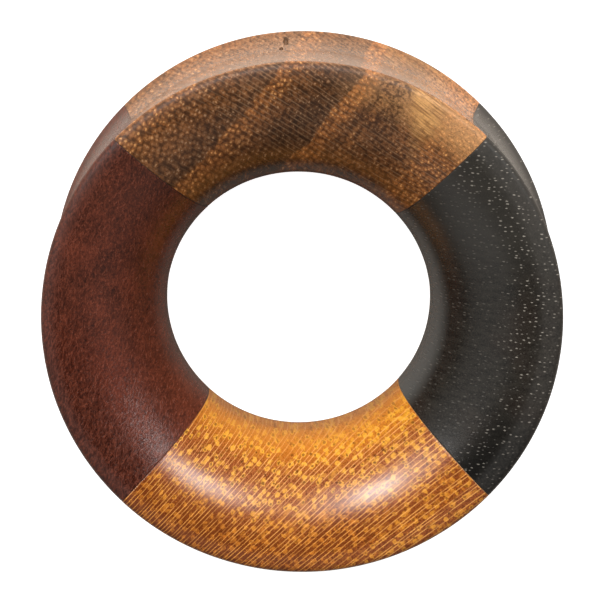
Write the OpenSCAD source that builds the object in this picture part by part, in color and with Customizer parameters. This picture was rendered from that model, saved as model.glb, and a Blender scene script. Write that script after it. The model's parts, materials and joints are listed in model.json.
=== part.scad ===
// Double-flared flesh tunnel: four woods glued at radial joints and turned to one ring.
// It lies on its back flare. +Z is its axis and points out of the front face, and the
// origin is on the axis of the turned outside, on the surface that it rests on.

/* [Turned outside] */
// Diameter at the bottom of the groove, which is the size of the ear piercing
wearing_d = 25.4; // [20:0.2:38]
// How far each flare stands above the groove
flare_rise = 0.6; // [0.4:0.05:1]
// Distance along the axis between the widest points of the two flares
flare_spacing = 10.5; // [9.5:0.1:12]
// Radius of the hollow sweep from the groove up to each flare
sweep_r = 7; // [5:0.5:8]
// Radius of the rounded outer edge of each flare
edge_r = 0.35; // [0.25:0.05:0.45]

/* [Hole] */
// Wall from the throat of the hole out to the edge of the flare
wall = 6.45; // [5:0.05:7.5]
// Length of the straight throat between the two mouths
throat_len = 0.9; // [0.6:0.1:2]
// Width of the flat land between each mouth and the rounded edge
land_w = 0.35; // [0.3:0.05:0.6]
// How far the hole is off the axis of the outside, towards the left segment
hole_shift = 0.21; // [0:0.01:0.25]

/* [Glued joints] */
// Thickness of the glue line between two segments
glue_line = 0.025; // [0.02:0.005:0.05]
// Angle of the joint between the right and top segments, counted from +X towards +Y
right_top_angle = 46.2; // [43:0.1:48]
// How far that joint is off the axis, towards the top segment
right_top_shift = -0.18; // [-0.6:0.01:0.6]
// Angle of the joint between the top and left segments
top_left_angle = 137.4; // [132:0.1:140]
// How far that joint is off the axis, towards the left segment
top_left_shift = -0.46; // [-0.6:0.01:0.6]
// Angle of the joint between the left and bottom segments
left_bottom_angle = 226; // [223:0.1:228]
// How far that joint is off the axis, towards the bottom segment
left_bottom_shift = -0.05; // [-0.6:0.01:0.6]
// Angle of the joint between the bottom and right segments
bottom_right_angle = 314; // [312:0.1:318]
// How far that joint is off the axis, towards the right segment
bottom_right_shift = 0.52; // [-0.6:0.01:0.6]

/* [Open vessels] */
// Length of the long open vessel on the back flare of the top segment
long_vessel_len = 1; // [0.4:0.1:1.2]
// Width of the long open vessel
long_vessel_w = 0.25; // [0.1:0.05:0.3]
// Length of the short open vessel beside it
short_vessel_len = 0.7; // [0.3:0.1:0.8]
// Width of the short open vessel
short_vessel_w = 0.2; // [0.1:0.05:0.3]

/* [Smoothness] */
// Number of sides on round shapes
round_sides = 240; // [120:24:360]

/* [Hidden] */
$fn = round_sides;
groove_r = wearing_d / 2;
rim_r = groove_r + flare_rise;
throat_r = rim_r - wall;
body_h = flare_spacing + 2 * edge_r;

// The sweep runs from the straight middle of the groove to the rounded edge. It bites a hair
// into the rounded edge, so that the two arcs cross cleanly.
sweep_bite = 0.001;
edge_centre = [rim_r - edge_r, flare_spacing / 2];
centre_distance = sweep_r + edge_r - sweep_bite;
sweep_run = sqrt(pow(centre_distance, 2) - pow(sweep_r + edge_r - flare_rise, 2));
groove_half = flare_spacing / 2 - sweep_run;
sweep_centre = [groove_r + sweep_r, groove_half];

// Each mouth is a quarter of an ellipse, from the throat out to the land. Its centre is
// under the edge of the flare, so it crosses the face at a shallow angle where the land starts.
mouth_depth = (body_h - throat_len) / 2;
mouth_half_depth = mouth_depth / sqrt(1 - pow((edge_r + land_w) / wall, 2));

// Place of each open vessel: its angle round the axis, and the height of its middle
long_vessel_angle = 94;
long_vessel_height = 1.45;
short_vessel_angle = 95.1;
short_vessel_height = 2.6;
vessel_sides = 24;

// Length by which a cutting shape passes the surface that it cuts
overshoot = 1;

// Half section of the turned outside, with no hole: radius along X, height along Y
module outside_section() {
    difference() {
        union() {
            polygon([
                [0, -body_h / 2],
                [edge_centre.x, -body_h / 2],
                [edge_centre.x, -edge_centre.y],
                [sweep_centre.x, -sweep_centre.y],
                [groove_r, -groove_half],
                [groove_r, groove_half],
                sweep_centre,
                edge_centre,
                [edge_centre.x, body_h / 2],
                [0, body_h / 2]
            ]);
            for (side = [-1, 1])
                translate([edge_centre.x, side * edge_centre.y])
                    circle(r = edge_r);
        }
        for (side = [-1, 1])
            translate([sweep_centre.x, side * sweep_centre.y])
                circle(r = sweep_r);
    }
}

// Half section of the air in the hole: the throat, and a mouth that opens at each end
module hole_section() {
    difference() {
        translate([0, -body_h / 2 - overshoot])
            square([rim_r, body_h + 2 * overshoot]);
        translate([throat_r, -throat_len / 2])
            square([wall + overshoot, throat_len]);
        for (side = [-1, 1])
            translate([rim_r, side * throat_len / 2])
                scale([wall, mouth_half_depth])
                    circle(r = 1);
    }
}

// The whole ring, as it comes off the lathe
module turned_ring() {
    translate([0, 0, body_h / 2])
        difference() {
            rotate_extrude()
                outside_section();
            translate([-hole_shift, 0, 0])
                rotate_extrude()
                    hole_section();
        }
}

// Everything on one side of a joint, up to the edge of its glue line, seen from above.
// Side 1 is counter-clockwise of the joint, side -1 is clockwise.
module side_of_joint(angle, shift, side) {
    reach = 2 * rim_r;
    rotate(angle)
        translate([0, shift + side * (reach + glue_line) / 2])
            square([2 * reach, reach], center = true);
}

// One quarter block of the glued ring, turned to shape
module segment(from_angle, from_shift, to_angle, to_shift) {
    intersection() {
        turned_ring();
        translate([0, 0, -overshoot])
            linear_extrude(height = body_h + 2 * overshoot)
                intersection() {
                    side_of_joint(from_angle, from_shift, 1);
                    side_of_joint(to_angle, to_shift, -1);
                }
    }
}

// A vessel of the wood that the lathe has cut open, as a round trough along the grain in the
// sweep of the back flare
module open_vessel(angle, height, length, width) {
    slope = asin((body_h / 2 - groove_half - height) / sweep_r);
    surface_r = groove_r + sweep_r * (1 - cos(slope));
    rotate(angle)
        translate([surface_r, 0, height])
            rotate([0, -slope, 0])
                cylinder(h = length, d = width, center = true, $fn = vessel_sides);
}

// Striped brown wood, with two vessels cut open
module top_segment() {
    color([0.38, 0.25, 0.15])
        difference() {
            segment(right_top_angle, right_top_shift, top_left_angle, top_left_shift);
            open_vessel(long_vessel_angle, long_vessel_height, long_vessel_len, long_vessel_w);
            open_vessel(short_vessel_angle, short_vessel_height, short_vessel_len, short_vessel_w);
        }
}

// Black wood
module right_segment() {
    color([0.17, 0.16, 0.15])
        segment(bottom_right_angle, bottom_right_shift, right_top_angle, right_top_shift);
}

// Golden wood
module bottom_segment() {
    color([0.72, 0.48, 0.22])
        segment(left_bottom_angle, left_bottom_shift, bottom_right_angle, bottom_right_shift);
}

// Dark red-brown wood
module left_segment() {
    color([0.31, 0.18, 0.13])
        segment(top_left_angle, top_left_shift, left_bottom_angle, left_bottom_shift);
}

top_segment();
right_segment();
bottom_segment();
left_segment();
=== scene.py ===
# A double-flared flesh tunnel of four glued woods, lying on its back flare.
# Sizes below are in millimetres in the part's own frame, and become metres where a mesh is made.
import json
import math
from collections import namedtuple

import bpy
import numpy as np
from mathutils import Matrix, Vector


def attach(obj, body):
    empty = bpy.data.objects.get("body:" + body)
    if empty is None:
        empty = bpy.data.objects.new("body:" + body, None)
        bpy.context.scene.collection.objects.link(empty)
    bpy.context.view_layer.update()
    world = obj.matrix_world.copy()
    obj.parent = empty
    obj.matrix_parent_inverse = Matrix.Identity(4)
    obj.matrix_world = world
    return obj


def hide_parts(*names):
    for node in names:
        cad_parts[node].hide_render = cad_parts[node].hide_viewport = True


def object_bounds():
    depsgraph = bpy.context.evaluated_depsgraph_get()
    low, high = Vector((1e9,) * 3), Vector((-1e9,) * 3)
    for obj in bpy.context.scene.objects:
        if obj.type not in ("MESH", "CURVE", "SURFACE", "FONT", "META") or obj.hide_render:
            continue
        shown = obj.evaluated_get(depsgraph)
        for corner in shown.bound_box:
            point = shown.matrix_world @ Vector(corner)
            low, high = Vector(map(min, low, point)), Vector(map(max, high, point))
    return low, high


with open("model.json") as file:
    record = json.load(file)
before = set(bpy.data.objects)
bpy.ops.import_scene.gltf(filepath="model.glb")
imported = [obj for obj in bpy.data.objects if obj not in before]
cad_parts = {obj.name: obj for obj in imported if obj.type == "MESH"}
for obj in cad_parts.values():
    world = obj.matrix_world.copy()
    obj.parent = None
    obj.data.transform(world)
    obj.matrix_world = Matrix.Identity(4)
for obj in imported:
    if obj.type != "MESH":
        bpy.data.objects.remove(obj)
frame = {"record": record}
cad_low, cad_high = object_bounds()

MM = 0.001
PHOTO_PIXELS = 604

# Turned outside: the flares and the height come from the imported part
RIM_R = cad_high.x / MM
HEIGHT = cad_high.z / MM
FLARE_RISE = 0.6
GROOVE_R = RIM_R - FLARE_RISE
EDGE_R = 0.35
SWEEP_R = 7.0
SWEEP_BITE = 0.001

# Hole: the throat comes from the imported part
THROAT = next(mount for mount in frame["record"]["mounts"] if mount["name"] == "throat")
THROAT_R = THROAT["dims"]["r_mm"]
THROAT_HALF = THROAT["dims"]["length_mm"] / 2
HOLE_SHIFT = THROAT["pos_m"][0] / MM
WALL = RIM_R - THROAT_R
LAND_W = 0.35

HALF_HEIGHT = HEIGHT / 2
FLARE_HALF = HALF_HEIGHT - EDGE_R
EDGE_CENTRE_R = RIM_R - EDGE_R
SWEEP_CENTRE_R = GROOVE_R + SWEEP_R
CENTRE_DISTANCE = SWEEP_R + EDGE_R - SWEEP_BITE
SWEEP_RUN = math.sqrt(CENTRE_DISTANCE**2 - (SWEEP_R + EDGE_R - FLARE_RISE) ** 2)
GROOVE_HALF = FLARE_HALF - SWEEP_RUN
MOUTH_DEPTH = HALF_HEIGHT - THROAT_HALF
MOUTH_HALF_DEPTH = MOUTH_DEPTH / math.sqrt(1 - ((EDGE_R + LAND_W) / WALL) ** 2)

# Joints: angle from +X towards +Y in degrees, and how far the joint's plane is off the axis
Joint = namedtuple("Joint", "angle shift")
JOINTS = {
    "right_top": Joint(46.2, -0.18),
    "top_left": Joint(137.4, -0.46),
    "left_bottom": Joint(226.0, -0.05),
    "bottom_right": Joint(314.0, 0.52),
}

# The gap between two segments, the share of it that the film of glue fills, and how far the film
# stays under the turned surface
GLUE_LINE = 0.025
GLUE_FILL = 0.96
GLUE_INSET = 0.014

# Vessels cut open on the back flare of the top segment, with heights from the floor. The painted shade
# in and round each one ends this share of the vessel's size past its rim.
OpenVessel = namedtuple("OpenVessel", "angle height length width depth")
OPEN_VESSELS = (
    OpenVessel(angle=94.0, height=1.45, length=1.0, width=0.25, depth=0.16),
    OpenVessel(angle=95.1, height=2.6, length=0.7, width=0.2, depth=0.13),
)
PAINTED_SHADE_REACH = 0.35

# Waves that the lathe and the sandpaper leave: how many go round the ring, how fast they turn
# with height and from segment to segment, and their share of the depth
Wave = namedtuple("Wave", "around with_height with_phase share")
WAVES = (
    Wave(3, 0.35, 1.0, 0.17),
    Wave(7, -0.6, 2.1, 0.17),
    Wave(23, 0.9, 0.7, 0.08),
    Wave(5, 1.7, 0.0, 0.08),
)
WAVE_DEPTH = 0.012
WAVE_LEVEL = 0.5
PHASE_STEP = 1.3

# The edges along the joints are eased, and the polish is worn off round the rims
EASE_DEPTH = 0.012
EASE_WIDTH = 0.06
WEAR_REACH = 0.35

# Fineness of the meshes: rows in each stretch of the section, and columns round each segment.
# The columns are closer together within these shares of the segment from a joint or a vessel.
THROAT_STEPS = 3
MOUTH_STEPS = 66
LAND_STEPS = 3
EDGE_STEPS = 12
SWEEP_STEPS = 38
VESSEL_SWEEP_STEPS = 84
GROOVE_STEPS = 20
COLUMNS = 286
JOINT_SPOT = 0.004
VESSEL_SPOT = 0.008
SPOT_FINENESS = 5
GRADING_SAMPLES = 4001
SHARP_ANGLE = 50.0
FLAT_TOLERANCE = 1e-6


def graded(count, spots):
    """count + 1 values from 0 to 1, closer together round each (place, half width)."""
    fine = np.linspace(0, 1, GRADING_SAMPLES)
    density = np.ones_like(fine)
    for place, half_width in spots:
        density += SPOT_FINENESS * np.exp(-(((fine - place) / half_width) ** 2))
    travelled = np.concatenate([[0.0], np.cumsum((density[1:] + density[:-1]) / 2)])
    return np.interp(np.linspace(0, travelled[-1], count + 1), travelled, fine)


def half_section(sweep_steps):
    """Rows of (share of the hole's axis, radius, height) from the throat out over one flare."""
    edge_end = -math.asin(SWEEP_RUN / CENTRE_DISTANCE)
    mouth_end = math.asin(MOUTH_DEPTH / MOUTH_HALF_DEPTH)
    rows = [(1.0, THROAT_R, z) for z in np.linspace(0, THROAT_HALF, THROAT_STEPS)[:-1]]
    for turn in np.linspace(0, mouth_end, MOUTH_STEPS)[:-1]:
        radius = RIM_R - WALL * math.cos(turn)
        rows.append((1.0, radius, THROAT_HALF + MOUTH_HALF_DEPTH * math.sin(turn)))
    for share in np.linspace(1, 0, LAND_STEPS + 1)[:-1]:
        rows.append((share, EDGE_CENTRE_R - LAND_W * share, HALF_HEIGHT))
    for turn in np.linspace(math.pi / 2, edge_end, EDGE_STEPS)[:-1]:
        height = FLARE_HALF + EDGE_R * math.sin(turn)
        rows.append((0.0, EDGE_CENTRE_R + EDGE_R * math.cos(turn), height))
    for turn in np.linspace(math.pi + edge_end, math.pi, sweep_steps)[:-1]:
        height = GROOVE_HALF + SWEEP_R * math.sin(turn)
        rows.append((0.0, SWEEP_CENTRE_R + SWEEP_R * math.cos(turn), height))
    rows += [(0.0, GROOVE_R, z) for z in np.linspace(GROOVE_HALF, 0, GROOVE_STEPS)[:-1]]
    return rows


def whole_section(back_sweep_steps):
    """The closed section of the ring and the outward direction at each of its points."""
    front = half_section(SWEEP_STEPS)
    back = [(share, radius, -z) for share, radius, z in half_section(back_sweep_steps)[1:]]
    rows = np.array(front + [(0.0, GROOVE_R, 0.0)] + back[::-1])
    along = np.roll(rows[:, 1:], -1, axis=0) - np.roll(rows[:, 1:], 1, axis=0)
    along /= np.linalg.norm(along, axis=1)[:, None]
    outward = np.stack([-along[:, 1], along[:, 0]], axis=1)
    return rows, outward


def angle_at_joint(joint, side, rows):
    """Angle at which each circle of the section meets the edge of a joint's glue line."""
    angle, shift = JOINTS[joint]
    turn = math.radians(angle)
    centre_x = HOLE_SHIFT * rows[:, 0]
    across = shift + side * GLUE_LINE / 2 + centre_x * math.sin(turn)
    return turn + np.arcsin(across / rows[:, 1])


def waviness(angle, height, phase):
    """From 0 to 1: how deep the waves are at each place."""
    level = np.full_like(angle, WAVE_LEVEL)
    for wave in WAVES:
        turn = wave.around * angle + wave.with_height * height + wave.with_phase * phase
        level += wave.share * np.sin(turn)
    return level.clip(0, 1)


def cut_vessels(angle, radius, height, vessels):
    """Depth of the open vessels under the turned surface, and a mask of painted shade that is 1 inside
    them.
    """
    depth = np.zeros_like(angle)
    mask = np.zeros_like(angle)
    outside = radius > GROOVE_R - WALL / 2
    for vessel in vessels:
        sideways = radius * (angle - math.radians(vessel.angle)) / (vessel.width / 2)
        lengthways = (height + HALF_HEIGHT - vessel.height) / (vessel.length / 2)
        reach = np.hypot(sideways, lengthways)
        inside = np.sqrt((1 - reach**2).clip(0)) * outside
        painted_shade = (1 + PAINTED_SHADE_REACH - reach).clip(0, PAINTED_SHADE_REACH) / PAINTED_SHADE_REACH * outside
        depth = np.maximum(depth, vessel.depth * inside)
        mask = np.maximum(mask, painted_shade)
    return depth, mask


def ring_points(share, radius, angle, height):
    """Points round the axis of the outside, or by this share round the axis of the hole."""
    x = HOLE_SHIFT * share + radius * np.cos(angle)
    y = radius * np.sin(angle)
    z = np.broadcast_to(height + HALF_HEIGHT, angle.shape)
    return np.stack([x, y, z], axis=-1).reshape(-1, 3)


def mesh_object(name, points, faces):
    """A smooth-shaded object from points in millimetres, with its hard corners kept."""
    mesh = bpy.data.meshes.new(name)
    mesh.from_pydata((points * MM).tolist(), [], faces)
    mesh.polygons.foreach_set("use_smooth", [True] * len(mesh.polygons))
    mesh.set_sharp_from_angle(angle=math.radians(SHARP_ANGLE))
    piece = bpy.data.objects.new(name, mesh)
    bpy.context.scene.collection.objects.link(piece)
    return piece


def swept_faces(stations, columns):
    """Quads of a closed section swept over columns, and a flat cap on each end."""
    faces = []
    for i in range(stations):
        here = i * columns
        after = (i + 1) % stations * columns
        faces += [(here + j, after + j, after + j + 1, here + j + 1) for j in range(columns - 1)]
    first = [i * columns for i in range(stations)]
    last = [i * columns + columns - 1 for i in range(stations)]
    return faces + [tuple(reversed(first)), tuple(last)]


def add_mask(piece, name, values):
    """A number for each point of the mesh, which a material reads by name."""
    attribute = piece.data.attributes.new(name, "FLOAT", "POINT")
    attribute.data.foreach_set("value", values.ravel().astype(np.float32))


def column_spots(start, stop, vessels):
    """Where the columns of a segment are finer, from 0 to 1: at its joints and its vessels."""
    spots = [(0.0, JOINT_SPOT), (1.0, JOINT_SPOT)]
    for vessel in vessels:
        place = (math.radians(vessel.angle) - start) / (stop - start)
        spots.append((place, VESSEL_SPOT))
    return spots


def segment(name, from_joint, to_joint, vessels, phase):
    """One quarter block of the ring: the section swept from one joint to the next."""
    rows, outward = whole_section(VESSEL_SWEEP_STEPS if vessels else SWEEP_STEPS)
    start = angle_at_joint(from_joint, 1, rows)
    stop = angle_at_joint(to_joint, -1, rows)
    stop = np.where(stop < start, stop + 2 * math.pi, stop)
    fraction = graded(COLUMNS, column_spots(start.mean(), stop.mean(), vessels))

    angle = start[:, None] + (stop - start)[:, None] * fraction
    radius = np.broadcast_to(rows[:, 1:2], angle.shape)
    height = np.broadcast_to(rows[:, 2:3], angle.shape)

    from_joints = radius * np.minimum(angle - start[:, None], stop[:, None] - angle)
    eased = EASE_DEPTH * (1 - from_joints / EASE_WIDTH).clip(0) ** 2
    on_land = np.abs(height) > HALF_HEIGHT - FLAT_TOLERANCE
    waves = np.where(on_land, 0, WAVE_DEPTH * waviness(angle, height, phase))
    vessel_depth, hollow = cut_vessels(angle, radius, height, vessels)
    depth = eased + waves + vessel_depth

    turned_radius = radius - depth * outward[:, 0:1]
    turned_height = height - depth * outward[:, 1:2]
    points = ring_points(rows[:, 0:1], turned_radius, angle, turned_height)
    piece = mesh_object(name, points, swept_faces(len(rows), COLUMNS + 1))

    to_rim = np.hypot(radius - EDGE_CENTRE_R, np.abs(height) - FLARE_HALF)
    worn = np.exp(-(((to_rim - EDGE_R).clip(0) / WEAR_REACH) ** 2))
    add_mask(piece, "wear", worn)
    add_mask(piece, "hollow", hollow)
    return piece


def glue_film(name, joint):
    """The thin film of glue that fills one joint, just under the turned surface."""
    rows, outward = whole_section(SWEEP_STEPS)
    sides = [angle_at_joint(joint, side * GLUE_FILL, rows) for side in (-1, 1)]
    angle = np.stack(sides, axis=1)
    radius = rows[:, 1:2] - GLUE_INSET * outward[:, 0:1]
    height = rows[:, 2:3] - GLUE_INSET * outward[:, 1:2]
    points = ring_points(rows[:, 0:1], radius, angle, height)
    return mesh_object(name, points, swept_faces(len(rows), len(sides)))


def tint(red, green, blue):
    """A colour from its screen values of 0 to 255."""
    def linear(value):
        value /= 255
        return value / 12.92 if value <= 0.04045 else ((value + 0.055) / 1.055) ** 2.4

    return (linear(red), linear(green), linear(blue), 1.0)


# What a flat cell texture gives at a place: how far it is from the middle of the nearest cell,
# two random numbers for that cell, and where its middle is
Cells = namedtuple("Cells", "distance first second middle")


class Recipe:
    """The nodes of one material or world. Each call returns the new node's output."""

    def __init__(self, owner):
        owner.use_nodes = True
        self.owner = owner
        self.tree = owner.node_tree
        self.tree.nodes.clear()

    def plug(self, value, socket):
        if isinstance(value, bpy.types.NodeSocket):
            self.tree.links.new(value, socket)
        elif value is not None:
            socket.default_value = value

    def node(self, kind, inputs, **settings):
        node = self.tree.nodes.new(kind)
        for key, value in settings.items():
            setattr(node, key, value)
        for key, value in inputs.items():
            self.plug(value, node.inputs[key])
        return node

    def math(self, operation, a, b=None, c=None, clamp=False):
        inputs = {0: a, 1: b, 2: c}
        return self.node("ShaderNodeMath", inputs, operation=operation, use_clamp=clamp).outputs[0]

    def add(self, total, *others):
        """The sum of all the values."""
        for other in others:
            total = self.math("ADD", total, other)
        return total

    def times(self, product, *others):
        """The product of all the values."""
        for other in others:
            product = self.math("MULTIPLY", product, other)
        return product

    def along(self, value, scale, offset=0.0):
        """value * scale + offset"""
        return self.math("MULTIPLY_ADD", value, scale, offset)

    def centred(self, noise, width):
        """Noise from 0 to 1 moved to lie evenly round 0, with this width in all."""
        return self.along(noise, width, -width / 2)

    def less(self, mask, share=1.0):
        """1 where the mask is 0, and this share less where it is 1."""
        return self.along(mask, -share, 1.0)

    def ease(self, value, low, high, to_low=0.0, to_high=1.0):
        """to_low under low, to_high over high, and a smooth change between them."""
        inputs = {0: value, 1: low, 2: high, 3: to_low, 4: to_high}
        return self.node("ShaderNodeMapRange", inputs, interpolation_type="SMOOTHSTEP").outputs[0]

    def fade(self, value, low, high, most=1.0):
        """most under low, 0 over high, and a smooth change between them."""
        return self.ease(value, low, high, most, 0.0)

    def chart(self, value, stops):
        """A number read off a curve, which is given as (value, height) pairs."""
        low, high = stops[0][0], stops[-1][0]
        place = self.node("ShaderNodeMapRange", {0: value, 1: low, 2: high}).outputs[0]
        node = self.node("ShaderNodeValToRGB", {0: place})
        elements = node.color_ramp.elements
        elements.remove(elements[1])
        elements[0].position = 0.0
        elements[0].color = (stops[0][1],) * 3 + (1.0,)
        for position, height in stops[1:]:
            elements.new((position - low) / (high - low)).color = (height, height, height, 1.0)
        return node.outputs[0]

    def mix(self, factor, a, b, blend="MIX"):
        inputs = {0: factor, 6: a, 7: b}
        node = self.node("ShaderNodeMix", inputs, data_type="RGBA", blend_type=blend)
        return node.outputs[2]

    def shade(self, value, low, high, from_colour, to_colour):
        """One colour under low, the other over high, and a smooth change between them."""
        return self.mix(self.ease(value, low, high), from_colour, to_colour)

    def vector(self, x, y, z=0.0):
        return self.node("ShaderNodeCombineXYZ", {0: x, 1: y, 2: z}).outputs[0]

    def vector_math(self, operation, a, b, c=None):
        inputs = {0: a, 1: b, 2: c}
        return self.node("ShaderNodeVectorMath", inputs, operation=operation).outputs[0]

    def length(self, vector):
        return self.node("ShaderNodeVectorMath", {0: vector}, operation="LENGTH").outputs["Value"]

    def object_place(self):
        return self.node("ShaderNodeTexCoord", {}).outputs["Object"]

    def noise(self, vector, scale=1.0, detail=2.0, roughness=0.5, distortion=0.0):
        inputs = {
            "Vector": vector,
            "Scale": scale,
            "Detail": detail,
            "Roughness": roughness,
            "Distortion": distortion,
        }
        return self.node("ShaderNodeTexNoise", inputs).outputs[0]

    def cells(self, vector, randomness=1.0):
        inputs = {"Vector": vector, "Scale": 1.0, "Randomness": randomness}
        node = self.node("ShaderNodeTexVoronoi", inputs, voronoi_dimensions="2D")
        split = self.node("ShaderNodeSeparateColor", {0: node.outputs["Color"]})
        distance, middle = node.outputs["Distance"], node.outputs["Position"]
        return Cells(distance, split.outputs[0], split.outputs[1], middle)

    def oval(self, vector, middle, half_width, half_height):
        """Distance from the middle, counted as 1 on the outline of an oval."""
        offset = self.vector_math("SUBTRACT", vector, middle)
        size = (1 / half_width, 1 / half_height, 0.0)
        return self.length(self.vector_math("MULTIPLY", offset, size))

    def strips(self, value, randomness):
        """Distance to the nearest edge between uneven strips, and a random number for each."""
        inputs = {"W": value, "Scale": 1.0, "Randomness": randomness}
        edge = self.node(
            "ShaderNodeTexVoronoi", inputs, voronoi_dimensions="1D", feature="DISTANCE_TO_EDGE"
        )
        cell = self.node("ShaderNodeTexVoronoi", inputs, voronoi_dimensions="1D")
        split = self.node("ShaderNodeSeparateColor", {0: cell.outputs["Color"]})
        return edge.outputs["Distance"], split.outputs[0]

    def from_axis(self, place):
        """Distance from the axis of the ring, in the unit of the place."""
        return self.length(self.vector_math("MULTIPLY", place, (1.0, 1.0, 0.0)))

    def side_grain(self):
        """1 where the surface runs along the fibres, and 0 where it cuts across them."""
        normal = self.node("ShaderNodeTexCoord", {}).outputs["Normal"]
        slope = self.node("ShaderNodeSeparateXYZ", {0: normal}).outputs[2]
        return self.fade(self.math("ABSOLUTE", slope), 0.3, 0.7)

    def mask(self, name):
        return self.node("ShaderNodeAttribute", {}, attribute_name=name).outputs["Fac"]

    def grain(self, ray_angle, pith, wander, lean=(0.0, 0.0)):
        """The place in millimetres and the wood's axes: along the rays, across and along the fibres.

        The rays spread from a pith this far from the ring's axis. The fibres lean by this much in
        X and Y for each millimetre of height.
        """
        place = self.vector_math("MULTIPLY", self.object_place(), (1 / MM,) * 3)
        x, y, z = self.node("ShaderNodeSeparateXYZ", {0: place}).outputs
        below_top = self.along(z, -1.0, HEIGHT)
        x = self.add(x, self.times(below_top, lean[0]))
        y = self.add(y, self.times(below_top, lean[1]))
        turn = math.radians(ray_angle)
        out = self.add(self.along(x, math.cos(turn), pith), self.times(y, math.sin(turn)))
        aside = self.add(self.times(x, -math.sin(turn)), self.times(y, math.cos(turn)))
        reach = self.math("SQRT", self.add(self.times(out, out), self.times(aside, aside)))
        radial = self.add(reach, -pith)
        across = self.times(self.math("ARCTAN2", aside, out), pith)
        sway = self.stretched((radial, across, z), (0.08, 0.5, 0.06), detail=2.0)
        across = self.add(across, self.centred(sway, wander))
        return place, (radial, across, z)

    def stretched(self, axes, scales, detail=3.0, roughness=0.5):
        """Noise with its own number of bumps for each millimetre along each axis."""
        scaled = [self.times(axis, scale) for axis, scale in zip(axes, scales)]
        return self.noise(self.vector(*scaled), detail=detail, roughness=roughness)

    def rays(self, axes, pitch, randomness, width, patches, fading):
        """Thin rays that come and go along their length, and a random number for each strip.

        fading is the noise under which a ray is faint, the noise over which it is full, and how
        faint it gets.
        """
        radial, across, z = axes
        edge, strip = self.strips(self.times(across, 1 / pitch), randomness)
        patchy = self.ease(self.stretched((strip, z, radial), patches), *fading)
        return self.times(self.fade(edge, 0.02, width), patchy), strip

    def vessel_places(self, axes, radial_pitch, across_pitch, drift, shake):
        """Places for a flat cell texture of vessels, which drift slowly along the fibres and are
        shaken a little, so that their shapes come out uneven."""
        radial, across, z = axes
        down = self.times(z, 0.22)

        def drifting(axis, seed):
            place = self.vector(down, seed, self.times(axis, 0.1))
            return self.add(axis, self.centred(self.noise(place, detail=1.0), drift))

        out = self.times(drifting(radial, 3.0), 1 / radial_pitch)
        over = self.times(drifting(across, 9.0), 1 / across_pitch)
        place = self.vector(radial, across, self.times(z, 0.25))
        noise = self.node("ShaderNodeTexNoise", {"Vector": place, "Scale": 7.0, "Detail": 1.0})
        amount = (shake,) * 3
        return self.vector_math("MULTIPLY_ADD", noise.outputs["Color"], amount, self.vector(out, over))

    def rubbed(self, colour, grit, light, share):
        """The rims of the flares, rubbed lighter in uneven spots."""
        amount = self.times(self.mask("wear"), self.ease(grit, 0.3, 0.7, 0.0, share))
        return self.mix(amount, colour, light)

    def matt_rim(self, roughness):
        """The rims of the flares, where wear has dulled the polish."""
        return self.add(roughness, self.times(self.mask("wear"), 0.3))

    def bump(self, height, depth):
        """Relief of the given depth in millimetres."""
        inputs = {"Height": height, "Distance": depth * MM, "Strength": 1.0}
        return self.node("ShaderNodeBump", inputs).outputs[0]

    def finish(self, colour, roughness, normal, **constants):
        inputs = {"Base Color": colour, "Roughness": roughness, "Normal": normal}
        inputs.update({name.replace("_", " "): value for name, value in constants.items()})
        shader = self.node("ShaderNodeBsdfPrincipled", inputs)
        self.node("ShaderNodeOutputMaterial", {0: shader.outputs[0]})
        return self.owner


def new_recipe(name):
    return Recipe(bpy.data.materials.new(name))


def golden_vessels(r, axes, grit, outer):
    """The bright ragged halos in the golden wood, and the dark vessels in their middles."""
    cells = r.cells(r.vessel_places(axes, 0.41, 0.37, drift=0.3, shake=0.4))
    petals = r.stretched(axes, (5.0, 5.0, 1.2), detail=2.0)
    ragged = r.add(cells.distance, r.centred(petals, 0.8), r.centred(grit, 0.3))
    halo = r.times(r.fade(ragged, 0.18, 0.44), r.ease(cells.second, 0.08, 0.48), r.less(outer, 0.62))
    core = r.along(cells.first, -0.1, cells.distance)
    vessel = r.times(r.fade(core, 0.02, 0.16), r.ease(cells.first, 0.35, 0.65), r.less(outer, 0.4))
    return halo, vessel


def golden_fibres(r, axes, strip, grit, outer, halo):
    """Where the golden wood is brown: in blocks between the rays and in longer streaks."""
    radial, across, z = axes
    blocks = r.stretched((radial, strip, z), (2.6, 91.0, 0.7), detail=2.0, roughness=0.65)
    streaks = r.stretched(axes, (1.6, 4.6, 0.5), detail=4.0, roughness=0.65)
    brown = r.add(
        r.along(blocks, 0.4, 0.04),
        r.along(streaks, 0.4, -0.04),
        r.along(grit, 0.34, -0.08),
        r.times(outer, 0.05),
        r.ease(across, -8.0, -2.0, 0.01, 0.08),
    )
    return r.times(r.ease(brown, 0.41, 0.52), r.less(halo, 0.7))


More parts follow.
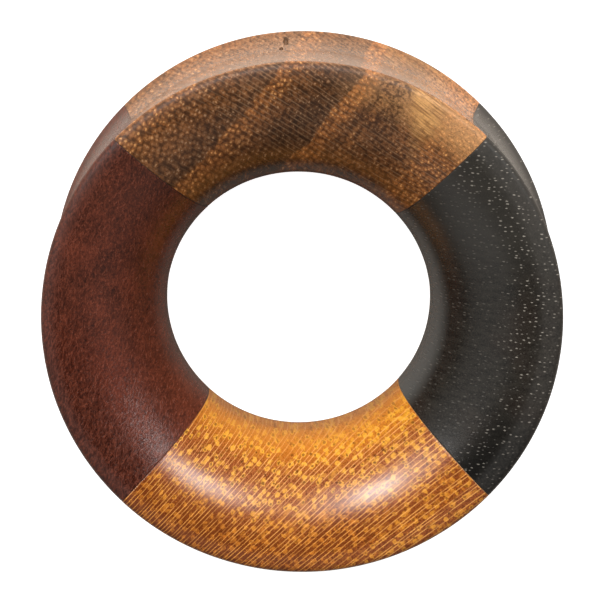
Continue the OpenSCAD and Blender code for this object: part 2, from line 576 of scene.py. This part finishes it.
def golden_wood():
    """Golden wood: brown fibre streaks between straight light rays, and vessels with halos."""
    r = new_recipe("turned_golden_wood")
    place, axes = r.grain(ray_angle=47.7, pith=70.8, wander=0.2, lean=(0.1, 0.1))
    from_axis = r.from_axis(place)
    grit = r.stretched(axes, (9.0, 9.0, 2.0), roughness=0.7)
    fine = r.stretched(axes, (13.0, 13.0, 3.0), detail=2.0, roughness=0.7)
    cloud = r.stretched(axes, (0.28, 0.2, 0.1))
    outer = r.ease(r.add(from_axis, r.centred(cloud, 4.0)), 9.6, 12.2)
    outer = r.times(outer, r.ease(axes[1], -13.0, -9.0, 0.35, 1.0))
    # Painted light: the wood is painted lighter towards the hole
    painted_light_near_hole = r.fade(from_axis, 6.9, 8.8)
    ray, strip = r.rays(
        axes, pitch=0.225, randomness=0.9, width=0.18, patches=(53.0, 1.2, 0.9), fading=(0.36, 0.58, 0.2)
    )
    halo, vessel = golden_vessels(r, axes, grit, outer)
    brown = golden_fibres(r, axes, strip, grit, outer, halo)

    gold = r.shade(grit, 0.3, 0.7, tint(156, 87, 26), tint(206, 136, 53))
    gold = r.mix(r.times(outer, 0.7), gold, tint(196, 110, 34))
    # Painted light: a lighter, lit copy of the gold, used near the hole
    painted_lit_gold = r.shade(grit, 0.35, 0.65, tint(222, 138, 22), tint(255, 198, 62))
    gold = r.mix(painted_light_near_hole, gold, painted_lit_gold)
    fibre = r.shade(fine, 0.35, 0.65, tint(112, 50, 9), tint(160, 86, 38))
    fibre = r.mix(r.times(outer, 0.8), fibre, tint(96, 42, 7))
    # Painted light on the fibres near the hole
    fibre = r.mix(r.times(painted_light_near_hole, 0.68), fibre, tint(216, 126, 34))
    colour = r.mix(brown, gold, fibre)
    halo_tint = r.mix(outer, tint(240, 174, 58), tint(228, 140, 46))
    colour = r.mix(r.times(halo, 0.58), colour, halo_tint)
    ray_tint = r.mix(outer, tint(238, 172, 94), tint(234, 158, 72))
    colour = r.mix(r.times(ray, 0.78), colour, ray_tint)
    colour = r.mix(r.times(vessel, 0.78), colour, tint(86, 40, 6))
    colour = r.mix(r.times(r.side_grain(), 0.5), colour, tint(206, 134, 62))
    colour = r.mix(r.fade(fine, 0.3, 0.5, 0.35), colour, tint(84, 34, 4))

    roughness = r.matt_rim(r.along(fine, 0.1, 0.14))
    relief = r.add(fine, r.times(ray, 0.2))
    return r.finish(colour, roughness, r.bump(relief, 0.004))


# Share of orange in the striped wood at each distance along its rays, in millimetres
STRIPES = [
    (-3.0, 0.7),
    (0.2, 0.8),
    (0.5, 0.95),
    (0.8, 0.5),
    (1.6, 0.4),
    (2.6, 0.25),
    (3.2, 0.3),
    (3.7, 0.55),
    (4.2, 0.3),
    (4.5, 0.55),
    (4.75, 1.0),
    (5.35, 0.95),
    (5.45, 0.0),
    (6.5, 0.05),
    (7.6, 0.3),
    (8.2, 0.7),
    (8.75, 0.85),
    (8.9, 0.1),
    (10.2, 0.3),
    (11.2, 0.4),
    (11.8, 0.6),
    (12.6, 0.55),
    (14.0, 0.3),
]

# How much painted sheen is added to the striped wood's outer wall at each distance along its rays, in
# millimetres
PAINTED_WALL_SHEEN = [
    (-4.0, 0.5),
    (-1.0, 0.36),
    (1.0, 0.12),
    (3.0, 0.22),
    (4.8, 0.17),
    (6.5, 0.24),
    (9.0, 0.19),
    (13.0, 0.22),
]


def growth_bands(r, axes, lean, grit, side):
    """The striped wood's share of orange, and masks of its golden patch, lines and dark clump."""
    band_axes = r.grain(ray_angle=143, pith=260, wander=0.2, lean=lean)[1]
    out, along = band_axes[:2]
    sway = r.stretched(band_axes, (0.3, 0.5, 0.1))
    mottle = r.stretched(axes, (3.2, 3.6, 0.9), roughness=0.6)
    blotches = r.stretched(axes, (5.0, 5.0, 0.8), detail=2.0, roughness=0.6)

    # The bands are bent like a bow, whose middle is at -8 mm along them
    from_bend = r.add(along, 8.0)
    bend = r.times(from_bend, from_bend, -0.012)
    band = r.add(out, bend, r.centred(sway, 0.8), r.centred(grit, 0.3))
    orange = r.math("ADD", r.chart(band, STRIPES), r.centred(mottle, 0.8), clamp=True)
    lined = r.fade(along, -7.5, -4.5)
    golden = r.times(
        r.ease(band, 0.0, 1.3),
        r.fade(r.add(band, r.along(along, 0.8, 8.56)), 0.8, 1.8),
        r.ease(along, -12.2, -9.2, 1.0, 0.2),
        r.less(side, 0.7),
        r.ease(mottle, 0.3, 0.55, 0.55, 1.0),
    )
    clump = r.times(
        r.ease(band, 2.3, 2.9),
        r.fade(band, 4.0, 4.6),
        r.fade(along, -10.4, -9.4),
        r.less(side),
        r.ease(blotches, 0.4, 0.58, 0.75, 0.1),
    )
    return orange, golden, lined, clump


def light_dots(r, axes, side, orange, golden, lined):
    """Light vessel dots of the striped wood, broken on its walls, and the dark gaps between."""
    cells = r.cells(r.vessel_places(axes, 0.235, 0.215, drift=0.15, shake=0.7))
    share = r.add(r.along(orange, 0.25, 0.8), r.times(golden, -0.8), r.times(lined, -0.15))
    present = r.ease(r.math("SUBTRACT", share, cells.second), -0.1, 0.1)
    reach = r.along(cells.second, 0.15, 0.13)
    spot = r.ease(r.math("SUBTRACT", reach, cells.distance), -0.06, 0.08)
    strength = r.ease(cells.first, 0.0, 0.9, 0.2, 1.0)
    broken = r.ease(r.stretched(axes, (4.0, 4.0, 1.6), detail=2.0), 0.38, 0.56)
    dot = r.times(spot, present, strength, r.add(r.times(side, broken), r.less(side)))
    gap = r.times(r.ease(cells.distance, 0.35, 0.65), r.less(golden, 0.8))
    return dot, gap


def striped_ground(r, axes, orange, golden, gap):
    """Colour of the striped wood under its dots and rays."""
    cloud = r.stretched(axes, (0.3, 0.3, 0.1))
    streak = r.stretched(axes, (0.8, 6.0, 0.6))
    strand = r.stretched(axes, (0.7, 10.0, 0.6))
    ground = r.shade(cloud, 0.35, 0.65, tint(78, 50, 29), tint(102, 69, 45))
    ground = r.mix(r.times(orange, 0.8), ground, tint(174, 106, 54))
    ground = r.mix(r.fade(streak, 0.4, 0.6, 0.35), ground, tint(50, 29, 14))
    gold = r.shade(strand, 0.35, 0.62, tint(122, 80, 40), tint(208, 155, 94))
    ground = r.mix(golden, ground, gold)
    return r.mix(r.times(gap, 0.6), ground, tint(36, 21, 11))


def striped_outer_wall(r, colour, axes, side, from_axis):
    """The striped wood's colour with a painted sheen added on its outer wall, and speckled with dark."""
    outside = r.times(side, r.ease(from_axis, 9.5, 11.0))
    speckle = r.stretched(axes, (8.0, 8.0, 1.3), detail=2.0, roughness=0.6)
    painted_sheen = r.ease(speckle, 0.36, 0.62, 0.04, r.chart(axes[0], PAINTED_WALL_SHEEN))
    # Painted sheen: a pale cream tint added onto the outer wall
    colour = r.mix(r.times(outside, painted_sheen), colour, tint(228, 160, 108), "ADD")
    return r.mix(r.times(outside, r.fade(speckle, 0.3, 0.42, 0.35)), colour, tint(88, 50, 28))


def striped_brown_wood():
    """Striped brown wood: growth bands from dark to orange, fine rays and light vessel dots."""
    r = new_recipe("turned_striped_brown_wood")
    lean = (0.1, 0.25)
    place, axes = r.grain(ray_angle=167, pith=29, wander=0.1, lean=lean)
    from_axis = r.from_axis(place)
    side = r.side_grain()
    grit = r.stretched(axes, (8.0, 8.0, 2.0), roughness=0.7)
    fine = r.stretched(axes, (13.0, 13.0, 3.0), detail=2.0, roughness=0.7)
    orange, golden, lined, clump = growth_bands(r, axes, lean, grit, side)
    dot, gap = light_dots(r, axes, side, orange, golden, lined)
    ray = r.rays(
        axes, pitch=0.19, randomness=0.6, width=0.22, patches=(61.0, 1.5, 1.3), fading=(0.35, 0.6, 0.1)
    )[0]
    ray = r.times(ray, r.along(lined, 0.7, 0.3))

    colour = striped_ground(r, axes, orange, golden, gap)
    light = r.shade(orange, 0.2, 0.8, tint(162, 124, 90), tint(230, 164, 96))
    colour = r.mix(r.times(dot, 0.78), colour, light)
    colour = r.mix(r.times(ray, 0.42), colour, tint(166, 128, 94))
    # Painted light: the outer rim at the right is painted lighter, as if more strongly lit
    at_right = r.fade(axes[0], -1.0, 4.0, 0.42)
    painted_light_rim = r.times(r.ease(from_axis, 10.9, 12.3), at_right, r.less(side), r.less(golden, 0.8))
    colour = r.mix(painted_light_rim, colour, tint(232, 172, 112))
    colour = r.mix(clump, colour, tint(58, 36, 24))
    dark_grit = r.times(r.fade(fine, 0.34, 0.52, 0.45), r.less(golden, 0.6))
    colour = r.mix(dark_grit, colour, tint(34, 19, 9))
    colour = striped_outer_wall(r, colour, axes, side, from_axis)
    # Painted light: the wood is painted lighter at the edge of the hole
    painted_light_near_hole = r.fade(from_axis, 6.9, 7.5, 0.6)
    colour = r.mix(painted_light_near_hole, colour, tint(150, 96, 62))
    # Painted shade in the open vessels and round their rims
    colour = r.mix(r.times(r.mask("hollow"), 0.55), colour, tint(84, 62, 46))

    roughness = r.matt_rim(r.along(grit, 0.12, 0.17))
    relief = r.add(fine, r.times(dot, 0.3))
    return r.finish(colour, roughness, r.bump(relief, 0.004))


def black_wood():
    """Black wood: close dark ground with small light dashes in rough rows along the rays."""
    r = new_recipe("turned_black_wood")
    place, axes = r.grain(ray_angle=-3, pith=260, wander=0.3)
    from_axis = r.from_axis(place)
    across = axes[1]
    grit = r.stretched(axes, (9.0, 9.0, 2.0), roughness=0.6)
    fine = r.stretched(axes, (13.0, 13.0, 3.0), detail=2.0, roughness=0.7)
    vessel_places = r.vessel_places(axes, 0.3, 0.22, drift=0.2, shake=0.2)
    cells = r.cells(vessel_places, 0.95)
    dash = r.oval(vessel_places, cells.middle, half_width=0.25, half_height=0.15)
    dash = r.times(dash, r.along(cells.first, -0.6, 1.5))
    pore = r.times(r.fade(dash, 0.45, 1.15), r.ease(cells.second, 0.1, 0.4))

    cloud = r.stretched(axes, (0.3, 0.3, 0.15), detail=2.0)
    dusty = r.ease(r.add(from_axis, r.centred(cloud, 3.0)), 9.8, 11.6, 0.22, 1.0)
    dusty = r.times(dusty, r.ease(across, -7.0, 2.0, 0.6, 1.0))
    bright = r.times(r.ease(cells.first, 0.1, 1.0, 0.12, 1.0), dusty)

    streak = r.stretched(axes, (1.4, 5.0, 0.4))
    ground = r.shade(streak, 0.35, 0.65, tint(23, 20, 16), tint(36, 33, 28))
    ground = r.mix(r.ease(cloud, 0.45, 0.65, 0.0, 0.4), ground, tint(40, 29, 22))
    ground = r.mix(r.ease(fine, 0.4, 0.7, 0.0, 0.4), ground, tint(60, 55, 48))
    # Painted shade: the low outer rim is painted near black, holding back the light mirrored there
    low_rim = r.times(r.ease(from_axis, 10.0, 11.6), r.fade(across, -7.0, -2.0, 0.85))
    ground = r.mix(low_rim, ground, tint(7, 6, 4))
    # Painted sheen: the upper part of the ground is painted greyer and lighter
    upper_painted_sheen = r.ease(across, 1.5, 5.0, 0.0, 0.5)
    ground = r.mix(upper_painted_sheen, ground, tint(56, 53, 48))
    # Painted light: a grey sheen painted on the ground at the edge of the hole
    painted_light_near_hole = r.fade(from_axis, 6.95, 7.7, 0.8)
    ground = r.mix(painted_light_near_hole, ground, tint(92, 92, 88))
    colour = r.mix(r.times(pore, bright, 0.8), ground, tint(156, 148, 136))
    colour = r.mix(r.times(r.side_grain(), 0.15), colour, tint(92, 86, 84))
    colour = r.rubbed(colour, grit, tint(96, 88, 80), 0.12)

    roughness = r.matt_rim(r.add(r.along(grit, 0.1, 0.19), r.times(pore, 0.2)))
    relief = r.add(r.times(pore, -0.4), fine)
    return r.finish(colour, roughness, r.bump(relief, 0.003))


def red_brown_wood():
    """Dark red-brown wood: short fine hair-like fibres over soft dark mottling."""
    r = new_recipe("turned_red_brown_wood")
    place, axes = r.grain(ray_angle=75, pith=260, wander=0.8)
    radial, across, z = axes
    from_axis = r.from_axis(place)

    def hairs(lean, seed):
        turn = math.radians(lean)
        run = r.add(r.times(radial, math.cos(turn)), r.times(across, math.sin(turn)))
        over = r.add(r.times(radial, -math.sin(turn)), r.times(across, math.cos(turn)))
        long_place = r.vector(r.times(run, 3.0), r.along(over, 10.0, seed), r.times(z, 1.5))
        return r.noise(long_place, detail=4.0, roughness=0.7, distortion=0.4)

    hair = r.ease(r.math("MAXIMUM", hairs(-16, 0.0), hairs(16, 40.0)), 0.42, 0.7)
    fine = r.stretched(axes, (9.0, 9.0, 2.5), roughness=0.7)
    mottle = r.stretched(axes, (0.6, 0.8, 0.2), detail=5.0, roughness=0.7)
    ground = r.shade(mottle, 0.36, 0.64, tint(54, 25, 17), tint(88, 42, 29))
    redder = r.fade(from_axis, 8.0, 9.4, 0.35)
    ground = r.mix(redder, ground, tint(90, 40, 21))
    deeper = r.times(r.fade(radial, -6.0, -1.0, 0.7), r.ease(from_axis, 8.4, 10.0))
    ground = r.mix(deeper, ground, tint(84, 25, 3))
    ground = r.mix(r.ease(radial, 2.0, 4.5, 0.0, 0.6), ground, tint(50, 28, 21))
    low_rim = r.times(r.ease(from_axis, 10.0, 11.6), r.fade(radial, -8.0, 3.0, 0.9))
    ground = r.mix(low_rim, ground, tint(44, 14, 5))
    colour = r.mix(r.times(hair, 0.5), ground, tint(136, 68, 46))
    colour = r.mix(r.fade(fine, 0.36, 0.55, 0.6), colour, tint(36, 16, 11))
    colour = r.mix(r.times(r.side_grain(), 0.15), colour, tint(142, 88, 70))

    roughness = r.matt_rim(r.along(hair, 0.14, 0.15))
    relief = r.add(hair, fine)
    return r.finish(colour, roughness, r.bump(relief, 0.005))


def glue(name, colour):
    """A line of clear glue that has taken the colour of the wood dust, or in one joint a light colour
    that is a painted highlight.
    """
    r = new_recipe(name)
    patchy = r.noise(r.object_place(), scale=900.0)
    dusty = r.mix(patchy, colour, tint(30, 20, 14))
    return r.finish(dusty, r.along(patchy, 0.2, 0.3), None)


def floor_material():
    """Pale paper, white to the camera. The ring mirrors it darker where it is under the ring, a painted
    shadow, and paler outside the ring, a painted light.
    """
    r = new_recipe("floor_paper")
    place = r.object_place()
    path = r.node("ShaderNodeLightPath", {}).outputs
    mirrored = path["Is Glossy Ray"]
    tooth = r.noise(place, scale=2500.0, detail=3.0)
    paper = r.mix(tooth, tint(184, 184, 184), tint(190, 190, 190))
    # Painted light: outside the ring, mirrored rays see the paper paler
    outside = r.mix(mirrored, paper, tint(228, 216, 202))
    # Painted shadow: under the ring, mirrored rays see the paper darker
    inside = r.mix(mirrored, tint(190, 184, 174), tint(132, 125, 117))
    colour = r.mix(r.fade(r.from_axis(place), 9.0 * MM, 13.0 * MM), outside, inside)
    return r.finish(
        colour,
        0.8,
        r.bump(tooth, 0.01),
        Emission_Color=(1.0, 1.0, 1.0, 1.0),
        Emission_Strength=path["Is Camera Ray"],
    )


FLOOR_SIZE = 3000.0


def stage_floor():
    """A wide pale floor at the height that the ring rests on."""
    corners = np.array([(-1, -1, 0), (1, -1, 0), (1, 1, 0), (-1, 1, 0)]) * FLOOR_SIZE / 2
    floor = mesh_object("floor", corners, [(0, 1, 2, 3)])
    floor.data.materials.append(floor_material())


# Soft boxes: direction from +X towards +Y and tilt from straight up in degrees, width and
# height, how bright their face is, and whether polished wood mirrors it
SoftBox = namedtuple("SoftBox", "azimuth tilt width height brightness mirrored")
LIGHT_DISTANCE = 450.0
LIGHTS = {
    "key_right": SoftBox(49.5, 37.5, 120.0, 84.0, 10.5, True),
    "key_right_edge": SoftBox(54.0, 38.0, 240.0, 165.0, 2.8, True),
    "key_left": SoftBox(122.5, 37.5, 85.0, 80.0, 18.2, True),
    "key_left_edge": SoftBox(122.0, 38.0, 260.0, 200.0, 3.5, True),
    "card_left": SoftBox(178.0, 51.0, 1000.0, 400.0, 0.28, True),
    "card_right": SoftBox(13.0, 51.0, 350.0, 250.0, 0.2, True),
    "tent_wall": SoftBox(90.0, 60.0, 700.0, 500.0, 2.4, False),
}

# The room: how bright it is at each height, from straight down at -1 to straight up at 1, and
# how bright the camera sees it
ROOM_LIGHT = [
    (-1.0, 0.1),
    (0.0, 0.04),
    (0.3, 0.04),
    (0.45, 0.18),
    (0.6, 0.22),
    (0.77, 0.22),
    (0.87, 0.06),
    (1.0, 0.08),
]
ROOM_SEEN = (0.96, 0.96, 0.96, 1.0)


def room_light():
    """A dim room with a paler band of walls, which looks white where the camera sees it."""
    r = Recipe(bpy.data.worlds.new("pale_room"))
    direction = r.node("ShaderNodeTexCoord", {}).outputs["Generated"]
    height = r.node("ShaderNodeSeparateXYZ", {0: direction}).outputs[2]
    seen = r.node("ShaderNodeLightPath", {}).outputs["Is Camera Ray"]
    colour = r.mix(seen, r.chart(height, ROOM_LIGHT), ROOM_SEEN)
    background = r.node("ShaderNodeBackground", {0: colour})
    r.node("ShaderNodeOutputWorld", {0: background.outputs[0]})
    bpy.context.scene.world = r.owner


def soft_boxes():
    """Large soft lamps round the ring, which face it."""
    for name, box in LIGHTS.items():
        turn, lean = math.radians(box.azimuth), math.radians(box.tilt)
        level = math.sin(lean)
        out = Vector((math.cos(turn) * level, math.sin(turn) * level, math.cos(lean)))
        lamp = bpy.data.lights.new(name, "AREA")
        lamp.shape = "RECTANGLE"
        lamp.size = box.width * MM
        lamp.size_y = box.height * MM
        lamp.energy = box.brightness * math.pi * lamp.size * lamp.size_y
        holder = bpy.data.objects.new(name, lamp)
        holder.location = out * LIGHT_DISTANCE * MM
        holder.rotation_euler = out.to_track_quat("Z", "Y").to_euler()
        holder.visible_camera = False
        holder.visible_glossy = box.mirrored
        bpy.context.scene.collection.objects.link(holder)


# Camera: it looks at the middle of the front flare from a little towards the top segment
CAMERA_TILT = 11.998
CAMERA_TURN = 0.3225
CAMERA_DISTANCE = 211.158
CAMERA_RIGHT = 0.0022
CAMERA_UP = 0.901
CLIP_NEAR = 10
CLIP_FAR = 5000
FOCAL_PIXELS = 4150.0
SENSOR_W = 36.0


def photo_camera():
    """The camera that took the photo, in the part's frame."""
    tilt, turn = math.radians(CAMERA_TILT), math.radians(CAMERA_TURN)
    level = math.cos(tilt)
    toward = Vector((math.sin(turn) * level, math.sin(tilt), math.cos(turn) * level))
    right = Vector((math.cos(turn), 0.0, -math.sin(turn)))
    up = toward.cross(right)
    aim = Vector((0.0, 0.0, HALF_HEIGHT + FLARE_HALF))
    place = aim + toward * CAMERA_DISTANCE + right * CAMERA_RIGHT + up * CAMERA_UP
    data = bpy.data.cameras.new("photo_camera")
    data.sensor_width = SENSOR_W
    data.lens = FOCAL_PIXELS * SENSOR_W / PHOTO_PIXELS
    data.clip_start = CLIP_NEAR * MM
    data.clip_end = CLIP_FAR * MM
    camera = bpy.data.objects.new("photo_camera", data)
    axes = Matrix((right, up, toward)).transposed().to_4x4()
    camera.matrix_world = Matrix.Translation(place * MM) @ axes
    bpy.context.scene.collection.objects.link(camera)
    bpy.context.scene.camera = camera


# Segments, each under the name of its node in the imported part
Segment = namedtuple("Segment", "from_joint to_joint vessels wood slot")
SEGMENTS = {
    "top_segment": Segment(
        "right_top", "top_left", OPEN_VESSELS, striped_brown_wood, "striped_brown_wood"
    ),
    "right_segment": Segment("bottom_right", "right_top", (), black_wood, "black_wood"),
    "bottom_segment": Segment("left_bottom", "bottom_right", (), golden_wood, "golden_wood"),
    "left_segment": Segment("top_left", "left_bottom", (), red_brown_wood, "red_brown_wood"),
}

# Colour of the glue in each joint. The light one in the bottom-right joint is a painted highlight along
# that joint.
GLUE_AND_HIGHLIGHT_TINTS = {
    "right_top": tint(58, 36, 22),
    "top_left": tint(40, 24, 18),
    "left_bottom": tint(110, 62, 30),
    # Painted highlight: a light film standing for the bright line along this joint
    "bottom_right": tint(196, 140, 84),
}

photo_camera()
room_light()
soft_boxes()
stage_floor()
bpy.context.scene.view_settings.view_transform = "Standard"

for number, (node, (from_joint, to_joint, vessels, wood, slot)) in enumerate(SEGMENTS.items()):
    piece = segment(node + "_turned", from_joint, to_joint, vessels, PHASE_STEP * number)
    piece.data.materials.append(wood())
    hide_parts(node)
    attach(piece, "root")

for joint, colour in GLUE_AND_HIGHLIGHT_TINTS.items():
    film = glue_film("glue_" + joint, joint)
    film.data.materials.append(glue("glue_" + joint, colour))
    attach(film, "root")
